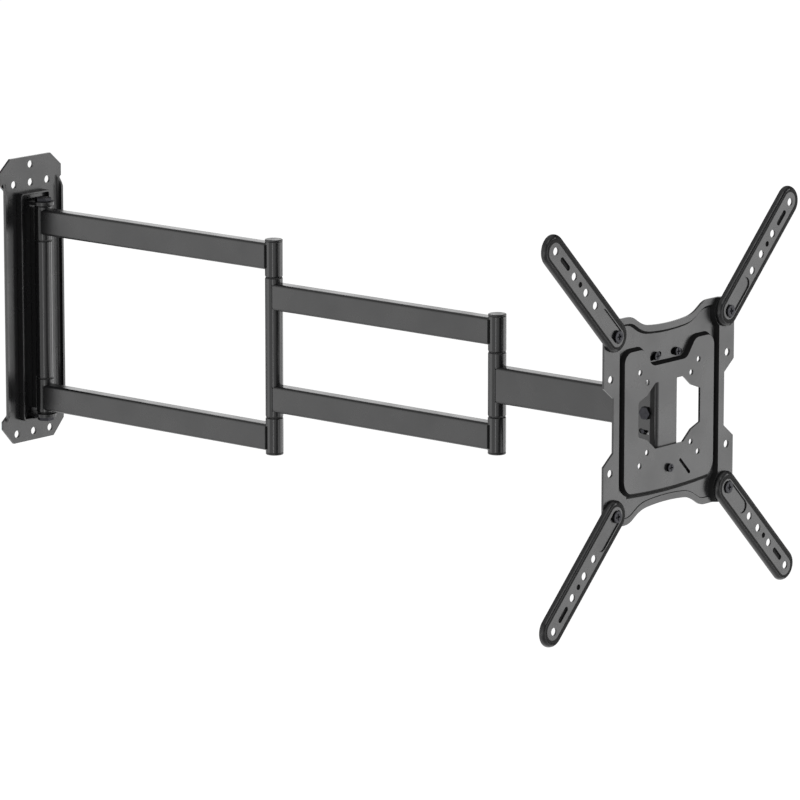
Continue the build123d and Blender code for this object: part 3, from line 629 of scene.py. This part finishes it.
def seen_rays(tree):
    """A socket that is 1 for rays of the camera, and one that is 1 for those of gloss and glass too."""
    path = add_node(tree, "ShaderNodeLightPath")
    shine = add_node(
        tree,
        "ShaderNodeMath",
        {0: path.outputs["Is Camera Ray"], 1: path.outputs["Is Glossy Ray"]},
        operation="MAXIMUM",
    )
    seen = add_node(
        tree,
        "ShaderNodeMath",
        {0: shine.outputs["Value"], 1: path.outputs["Is Transmission Ray"]},
        operation="MAXIMUM",
    )
    return path.outputs["Is Camera Ray"], seen.outputs["Value"]


def pale_floor(studio):
    """Matt white studio paper that keeps the object's soft shadow."""
    # White where it is seen. In gloss it is bright behind, under and to the left of the object.
    material, tree = new_material("Matt white studio paper")
    camera, seen = seen_rays(tree)
    place = add_node(
        tree,
        "ShaderNodeSeparateXYZ",
        {"Vector": add_node(tree, "ShaderNodeTexCoord").outputs["Object"]},
    )
    behind, not_right, left = (
        add_node(
            tree,
            "ShaderNodeMapRange",
            {"Value": place.outputs[axis], "From Min": start, "From Max": full},
            interpolation_type="SMOOTHSTEP",
        ).outputs["Result"]
        for axis, start, full in (PAPER_BEHIND, PAPER_NOT_RIGHT, PAPER_LEFT)
    )
    back = add_node(tree, "ShaderNodeMath", {0: behind, 1: not_right}, operation="MULTIPLY")
    lit = add_node(tree, "ShaderNodeMath", {0: back.outputs["Value"], 1: left}, operation="MAXIMUM")
    gloss = add_node(tree, "ShaderNodeMath", {0: seen, 1: lit.outputs["Value"]}, operation="MULTIPLY")
    white = add_node(tree, "ShaderNodeMath", {0: camera, 1: PAPER_WHITE}, operation="MULTIPLY")
    strength = add_node(
        tree,
        "ShaderNodeMath",
        {0: white.outputs["Value"], 1: gloss.outputs["Value"]},
        operation="MAXIMUM",
    )
    paper = add_node(tree, "ShaderNodeBsdfDiffuse", {"Color": linear(studio.paper)})
    glow = add_node(tree, "ShaderNodeEmission", {"Strength": strength.outputs["Value"]})
    both = add_node(
        tree, "ShaderNodeAddShader", {0: paper.outputs["BSDF"], 1: glow.outputs["Emission"]}
    )
    # Clear from below, so that the mount can be looked at from there
    below = add_node(tree, "ShaderNodeNewGeometry").outputs["Backfacing"]
    clear = add_node(tree, "ShaderNodeBsdfTransparent")
    sheet = add_node(
        tree,
        "ShaderNodeMixShader",
        {0: below, 1: both.outputs["Shader"], 2: clear.outputs["BSDF"]},
    )
    add_node(tree, "ShaderNodeOutputMaterial", {"Surface": sheet.outputs["Shader"]})
    return material


def white_surround(scene, studio):
    """A studio that gloss sees white behind the object, on its left and overhead, else dark."""
    world = bpy.data.worlds.new("White surround")
    scene.world = world
    world.use_nodes = True
    tree = world.node_tree
    tree.nodes.clear()
    camera, seen = seen_rays(tree)
    way = add_node(
        tree,
        "ShaderNodeSeparateXYZ",
        {"Vector": add_node(tree, "ShaderNodeTexCoord").outputs["Generated"]},
    )
    behind, left, under_ceiling, ceiling = (
        add_node(
            tree,
            "ShaderNodeMapRange",
            {"Value": way.outputs[axis], "From Min": start, "From Max": full, "To Max": strength},
            interpolation_type="SMOOTHSTEP",
        ).outputs["Result"]
        for axis, start, full, strength in (ROOM_BEHIND, ROOM_LEFT, ROOM_UNDER_CEILING, ROOM_CEILING)
    )
    walls = add_node(tree, "ShaderNodeMath", {0: behind, 1: left}, operation="MAXIMUM")
    low_walls = add_node(
        tree, "ShaderNodeMath", {0: walls.outputs["Value"], 1: under_ceiling}, operation="MULTIPLY"
    )
    room = add_node(
        tree, "ShaderNodeMath", {0: low_walls.outputs["Value"], 1: ceiling}, operation="MAXIMUM"
    )
    in_sight = add_node(
        tree, "ShaderNodeMath", {0: camera, 1: room.outputs["Value"]}, operation="MAXIMUM"
    )
    strength = add_node(
        tree,
        "ShaderNodeMapRange",
        {"Value": seen, "To Min": EVEN_LIGHT, "To Max": in_sight.outputs["Value"]},
    )
    sky = add_node(
        tree,
        "ShaderNodeBackground",
        {"Color": linear(studio.surround), "Strength": strength.outputs["Result"]},
    )
    add_node(tree, "ShaderNodeOutputWorld", {"Surface": sky.outputs["Background"]})


def only_active(obj):
    """Deselect everything but one object and make it active."""
    bpy.ops.object.select_all(action="DESELECT")
    obj.select_set(True)
    bpy.context.view_layer.objects.active = obj


def dress(piece, node, material):
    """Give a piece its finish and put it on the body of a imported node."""
    piece.data.materials.clear()
    piece.data.materials.append(material)
    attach(piece, body_of_node[node])


def finished_copy(node, material, edge, segments=2):
    """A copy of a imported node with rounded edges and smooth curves, shown in the node's place."""
    piece = bpy.data.objects.new(f"{node}_finished", frame["nodes"][node].data.copy())
    bpy.context.scene.collection.objects.link(piece)
    only_active(piece)
    bpy.ops.object.mode_set(mode="EDIT")
    bpy.ops.mesh.select_all(action="SELECT")
    bpy.ops.mesh.remove_doubles(threshold=MERGE_MM * MM)
    bpy.ops.mesh.dissolve_limited(angle_limit=FLAT_WITHIN)
    bpy.ops.object.mode_set(mode="OBJECT")
    bevel = piece.modifiers.new("Edges", "BEVEL")
    bevel.width = edge
    bevel.segments = segments
    bevel.limit_method = "ANGLE"
    bevel.angle_limit = CREASE
    bpy.ops.object.modifier_apply(modifier=bevel.name)
    bpy.ops.object.shade_smooth()
    normals = piece.modifiers.new("Flat faces", "WEIGHTED_NORMAL")
    normals.weight = FLAT_FACE_WEIGHT
    bpy.ops.object.modifier_apply(modifier=normals.name)
    dress(piece, node, material)
    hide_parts(node)
    return piece


def coat_faces(piece, finishes, choose):
    """Add finishes to a piece; choose gives each face's finish from its middle and normal."""
    for material in finishes:
        piece.data.materials.append(material)
    for face in piece.data.polygons:
        face.material_index = choose(face.center, face.normal)


def weld_bead(length, radius, ripple):
    """A rippled bead of weld that lies along Z with its middle at the origin."""
    bpy.ops.object.select_all(action="DESELECT")
    bpy.ops.mesh.primitive_cylinder_add(vertices=BEAD_SIDES, radius=radius, depth=length)
    bead = bpy.context.active_object
    bpy.ops.object.mode_set(mode="EDIT")
    bpy.ops.mesh.select_mode(type="EDGE")
    bpy.ops.mesh.select_all(action="DESELECT")
    bpy.ops.object.mode_set(mode="OBJECT")
    for edge in bead.data.edges:
        ends = [bead.data.vertices[i].co.z for i in edge.vertices]
        edge.select = abs(ends[0] - ends[1]) > length / 2
    ripples = 2 * round(length / ripple / 2)
    bpy.ops.object.mode_set(mode="EDIT")
    bpy.ops.mesh.subdivide(number_cuts=2 * ripples - 1)
    bpy.ops.mesh.select_mode(type="VERT")
    bpy.ops.mesh.select_all(action="DESELECT")
    bpy.ops.object.mode_set(mode="OBJECT")
    step = length / (2 * ripples)
    for vertex in bead.data.vertices:
        vertex.select = round((vertex.co.z + length / 2) / step) % 2 == 0
    bpy.ops.object.mode_set(mode="EDIT")
    bpy.ops.transform.resize(value=(BEAD_WAIST, BEAD_WAIST, 1.0))
    bpy.ops.object.mode_set(mode="OBJECT")
    bpy.ops.object.shade_smooth()
    return bead


def lay_bead(bead, name, place, turn, node, material):
    """A copy of a weld bead, turned about Y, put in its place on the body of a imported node."""
    piece = bpy.data.objects.new(name, bead.data.copy())
    bpy.context.scene.collection.objects.link(piece)
    piece.location = place
    piece.rotation_euler.y = turn
    only_active(piece)
    bpy.ops.object.transform_apply()
    dress(piece, node, material)


def slim_shanks(bolts, amount):
    """Take a little off the shanks of the pivot bolts, so that the arms' faceted holes turn freely."""
    only_active(bolts)
    bpy.ops.object.mode_set(mode="EDIT")
    bpy.ops.mesh.select_mode(type="FACE")
    bpy.ops.mesh.select_all(action="DESELECT")
    bpy.ops.object.mode_set(mode="OBJECT")
    inner, outer = SHANK_MM
    for face in bolts.data.polygons:
        middle = face.center
        off_axis = math.hypot(abs(middle.x) - ARM_PIVOT_MM * MM, abs(middle.z) - ARM_PIVOT_MM * MM)
        face.select = abs(face.normal.y) < HEAD_FACING and inner * MM < off_axis < outer * MM
    bpy.ops.object.mode_set(mode="EDIT")
    bpy.ops.transform.shrink_fatten(value=-amount)
    bpy.ops.object.mode_set(mode="OBJECT")


class WALLMOUNT_OT_wall_bracket(bpy.types.Operator):
    """Finish the wall plate, hinge tray and hinge lugs"""

    bl_idname = "wallmount.wall_bracket"
    bl_label = "Wall Bracket"

    def execute(self, context):
        finish = context.scene.wallmount_finish
        edges = context.scene.wallmount_edges
        coat = powder_coat("Satin powder coat on sheet", finish, SHEET_ROUGHNESS)
        for node in WALL_NODES:
            finished_copy(node, coat, edges.sheet)
        return {"FINISHED"}


class WALLMOUNT_OT_posts(bpy.types.Operator):
    """Finish the barrels, knuckles, bushes, pins and caps of the hinges"""

    bl_idname = "wallmount.posts"
    bl_label = "Hinge Posts"

    def execute(self, context):
        finish = context.scene.wallmount_finish
        edges = context.scene.wallmount_edges
        looks = {
            "hinge_steel": powder_coat("Semi gloss powder coat on barrels", finish, BARREL_ROUGHNESS),
            "nylon": moulded_plastic("Moulded nylon", finish.nylon, NYLON_ROUGHNESS),
            "cap_plastic": moulded_plastic("Moulded polypropylene", finish.cap, CAP_ROUGHNESS),
        }
        for node, slot in slot_of_node.items():
            if slot in looks:
                finished_copy(node, looks[slot], edges.turned)
        return {"FINISHED"}


class WALLMOUNT_OT_arm_tubes(bpy.types.Operator):
    """Finish the box tubes of the three arms"""

    bl_idname = "wallmount.arm_tubes"
    bl_label = "Arm Tubes"

    def execute(self, context):
        finish = context.scene.wallmount_finish
        edges = context.scene.wallmount_edges
        coat = powder_coat("Satin powder coat on tube", finish, TUBE_ROUGHNESS)
        for node, slot in slot_of_node.items():
            if slot == "arm_steel":
                finished_copy(node, coat, edges.turned)
        return {"FINISHED"}


class WALLMOUNT_OT_welds(bpy.types.Operator):
    """Lay weld beads where the tubes meet the posts and where the lugs meet the tray, those at the far
    ends and on the lugs in painted shade
    """

    bl_idname = "wallmount.welds"
    bl_label = "Weld Beads"

    def execute(self, context):
        finish = context.scene.wallmount_finish
        edges = context.scene.wallmount_edges
        painted_shade = painted_shade_powder_coat("Powder coat with painted shade on welds", finish)
        coat = powder_coat("Satin powder coat on welds", finish, WELD_ROUGHNESS)
        for tube, far_post, near_post in WELDED_ENDS:
            low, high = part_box(tube)
            side = high.x
            # Far end beads carry painted shade, a black line where tube meets post; near end seams
            # carry the satin coat
            ends = ((far_post, 1, painted_shade, edges.bead), (near_post, -1, coat, edges.seam))
            for post, way, look, size in ends:
                bead = weld_bead(high.z - low.z - 2 * size, size, edges.ripple)
                post_low, post_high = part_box(post)
                radius = (post_high.x - post_low.x) / 2
                meet = (post_low.y + post_high.y) / 2 + way * math.sqrt(radius**2 - side**2)
                for hand, x in (("left", -side), ("right", side)):
                    place = (x, meet, (low.z + high.z) / 2)
                    lay_bead(bead, f"{tube}_{post}_weld_{hand}", place, 0.0, tube, look)
                bpy.data.objects.remove(bead)
        for lug, way in HINGE_LUGS.items():
            low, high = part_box(lug)
            bead = weld_bead(high.x - low.x - 4 * edges.bead, edges.bead, edges.ripple)
            place = (0.0, high.y, high.z if way > 0 else low.z)
            # Lug beads carry painted shade
            lay_bead(bead, f"{lug}_weld", place, math.pi / 2, lug, painted_shade)
            bpy.data.objects.remove(bead)
        return {"FINISHED"}


class WALLMOUNT_OT_swivel_head(bpy.types.Operator):
    """Finish the swivel yoke and the tilt bracket, with painted shade beside the bracket's bends"""

    bl_idname = "wallmount.swivel_head"
    bl_label = "Swivel Head"

    def execute(self, context):
        finish = context.scene.wallmount_finish
        edges = context.scene.wallmount_edges
        yoke_coat = powder_coat("Satin powder coat on yoke", finish, SHEET_ROUGHNESS)
        finished_copy("swivel_yoke", yoke_coat, edges.sheet)
        bracket_coat = powder_coat(
            "Satin powder coat with painted shade beside bends", finish, SHEET_ROUGHNESS, shade_beside_bend
        )
        finished_copy("tilt_bracket", bracket_coat, edges.sheet)
        return {"FINISHED"}


class WALLMOUNT_OT_screen_plate(bpy.types.Operator):
    """Finish the pressed screen plate, with painted shade on its drafted walls and a painted shadow
    under its panel
    """

    bl_idname = "wallmount.screen_plate"
    bl_label = "Screen Plate"

    def execute(self, context):
        finish = context.scene.wallmount_finish
        edges = context.scene.wallmount_edges
        coat = powder_coat("Satin powder coat on pressings", finish, SHEET_ROUGHNESS, shadow_below_panel)
        painted_shade = painted_shade_powder_coat("Powder coat with painted shade in press radii", finish)
        plate = finished_copy("vesa_plate", coat, edges.press, segments=3)
        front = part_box("vesa_plate")[0].y / MM

        def choose(place, way):
            """1, the painted shade, on the drafted walls between the raised faces and the base, else 0.
            """
            x, y, z = place / MM
            across, up = abs(x), abs(z)
            depth = y - front
            square, steep = DRAFT_FACING
            drafted = square < way.y < steep and DRAFT_DEPTH_MM[0] < depth < DRAFT_DEPTH_MM[1]
            half_width, half_height = PANEL_REACH_MM
            groove = GROOVE_MM[0] < across < GROOVE_MM[1] and up < half_height
            among_holes = HOLE_HEIGHTS_MM[0] < z < HOLE_HEIGHTS_MM[1]
            panel_edge = across < half_width and up < half_height and not among_holes
            upper_rim = z > UPPER_RIM_MM and across < half_width and way.z < 0
            inward = way.x * x < 0 or way.z * z < 0
            ear = math.hypot(across - ARM_PIVOT_MM, up - ARM_PIVOT_MM) < EAR_MM and inward
            return int(drafted and (groove or panel_edge or upper_rim or ear))

        coat_faces(plate, [painted_shade], choose)
        return {"FINISHED"}


class WALLMOUNT_OT_extension_arms(bpy.types.Operator):
    """Finish the four pressed extension arms, with painted shade on their rolled edges and press marks
    """

    bl_idname = "wallmount.extension_arms"
    bl_label = "Extension Arms"

    def execute(self, context):
        finish = context.scene.wallmount_finish
        edges = context.scene.wallmount_edges
        coat = powder_coat("Satin powder coat on extension arms", finish, SHEET_ROUGHNESS)
        coat_with_shade_strip = powder_coat(
            "Satin powder coat on arm faces", finish, SHEET_ROUGHNESS, shade_beside_rolled_edge
        )
        painted_shade = painted_shade_powder_coat("Powder coat with painted shade on rolled edges", finish)
        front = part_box("extension_arm_upper_left")[0].y / MM

        def choose(place, way):
            """2 on the front face with its strip of painted shade, 1 for painted shade on its rolled
            edges and the press marks, else 0.
            """
            across, up = abs(place.x) / MM, abs(place.z) / MM
            depth = place.y / MM - front
            along = (across + up) / math.sqrt(2) - ARM_PIVOT_MM * math.sqrt(2)
            on_mark = any(start < along < end for start, end in PRESS_MARKS_MM)
            if on_mark and abs(across - up) < PRESS_MARK_REACH_MM:
                return 2 if depth < PRESS_MARK_DEPTH_MM[0] else int(depth < PRESS_MARK_DEPTH_MM[1])
            if way.y < ARM_FLAT_FACING:
                return 2
            return int(way.y < (ARM_RIGHT_ROLL_FACING if way.x > 0 else ARM_LEFT_ROLL_FACING))

        for node in frame["nodes"]:
            if node.startswith("extension_arm"):
                coat_faces(finished_copy(node, coat, edges.sheet), [painted_shade, coat_with_shade_strip], choose)
        return {"FINISHED"}


class WALLMOUNT_OT_fasteners(bpy.types.Operator):
    """Finish the bolts, nuts, screws and pins"""

    bl_idname = "wallmount.fasteners"
    bl_label = "Fasteners"

    def execute(self, context):
        edges = context.scene.wallmount_edges
        zinc = black_zinc(context.scene.wallmount_finish)
        for node, slot in slot_of_node.items():
            if slot == "black_hardware" and node in SCREW_NODES:
                screws = finished_copy(node, zinc, edges.dome, segments=4)
                if node == "arm_pivot_bolts":
                    slim_shanks(screws, edges.play)
            elif slot == "black_hardware":
                finished_copy(node, zinc, edges.fastener)
        return {"FINISHED"}


class WALLMOUNT_OT_studio(bpy.types.Operator):
    """Set the floor, the lamps, the white surround and the camera"""

    bl_idname = "wallmount.studio"
    bl_label = "Studio"

    def execute(self, context):
        studio = context.scene.wallmount_studio
        scene = context.scene
        scene.view_settings.view_transform = "Standard"
        middle = (cad_low + cad_high) / 2

        back = Vector(
            (
                math.sin(studio.azimuth) * math.cos(studio.elevation),
                -math.cos(studio.azimuth) * math.cos(studio.elevation),
                math.sin(studio.elevation),
            )
        )
        camera = bpy.data.objects.new("Camera", bpy.data.cameras.new("Camera"))
        scene.collection.objects.link(camera)
        camera.data.lens = studio.lens
        camera.data.clip_end = CAMERA_REACH
        camera.location = studio.place
        camera.rotation_mode = "QUATERNION"
        camera.rotation_quaternion = (-back).to_track_quat("-Z", "Y")
        scene.camera = camera

        bpy.ops.object.select_all(action="DESELECT")
        bpy.ops.mesh.primitive_circle_add(
            vertices=FLOOR_SIDES,
            radius=FLOOR_RADIUS,
            fill_type="NGON",
            location=(0, 0, -studio.floor_drop),
        )
        floor = context.active_object
        floor.name = "Floor"
        floor.data.materials.append(pale_floor(studio))

        for name, place, width, height, power in SOFTBOXES:
            lamp = bpy.data.lights.new(name, "AREA")
            lamp.shape = "RECTANGLE"
            lamp.size = width
            lamp.size_y = height
            lamp.energy = power
            holder = bpy.data.objects.new(name, lamp)
            scene.collection.objects.link(holder)
            holder.location = place
            holder.rotation_mode = "QUATERNION"
            holder.rotation_quaternion = (middle - Vector(place)).to_track_quat("-Z", "Y")

        white_surround(scene, studio)
        return {"FINISHED"}


STEPS = (
    WALLMOUNT_OT_wall_bracket,
    WALLMOUNT_OT_posts,
    WALLMOUNT_OT_arm_tubes,
    WALLMOUNT_OT_welds,
    WALLMOUNT_OT_swivel_head,
    WALLMOUNT_OT_screen_plate,
    WALLMOUNT_OT_extension_arms,
    WALLMOUNT_OT_fasteners,
    WALLMOUNT_OT_studio,
)


class WALLMOUNT_PT_sidebar(bpy.types.Panel):
    """The steps that finish the mount, in order"""

    bl_idname = "WALLMOUNT_PT_sidebar"
    bl_label = "Wall Mount"
    bl_space_type = "VIEW_3D"
    bl_region_type = "UI"
    bl_category = "Wall Mount"

    def draw(self, context):
        for step in STEPS:
            self.layout.operator(step.bl_idname)


SETTINGS = (
    ("wallmount_finish", FinishSettings),
    ("wallmount_edges", EdgeSettings),
    ("wallmount_studio", StudioSettings),
)


def register():
    """Register the settings, the steps and the panel."""
    for name, group in SETTINGS:
        bpy.utils.register_class(group)
        setattr(bpy.types.Scene, name, bpy.props.PointerProperty(type=group))
    for step in STEPS:
        bpy.utils.register_class(step)
    bpy.utils.register_class(WALLMOUNT_PT_sidebar)


def unregister():
    """Take away the panel, the steps and the settings."""
    bpy.utils.unregister_class(WALLMOUNT_PT_sidebar)
    for step in reversed(STEPS):
        bpy.utils.unregister_class(step)
    for name, group in reversed(SETTINGS):
        delattr(bpy.types.Scene, name)
        bpy.utils.unregister_class(group)


def main():
    """Run every step in order."""
    register()
    bpy.ops.wallmount.wall_bracket()
    bpy.ops.wallmount.posts()
    bpy.ops.wallmount.arm_tubes()
    bpy.ops.wallmount.welds()
    bpy.ops.wallmount.swivel_head()
    bpy.ops.wallmount.screen_plate()
    bpy.ops.wallmount.extension_arms()
    bpy.ops.wallmount.fasteners()
    bpy.ops.wallmount.studio()


if __name__ == "__main__":
    main()
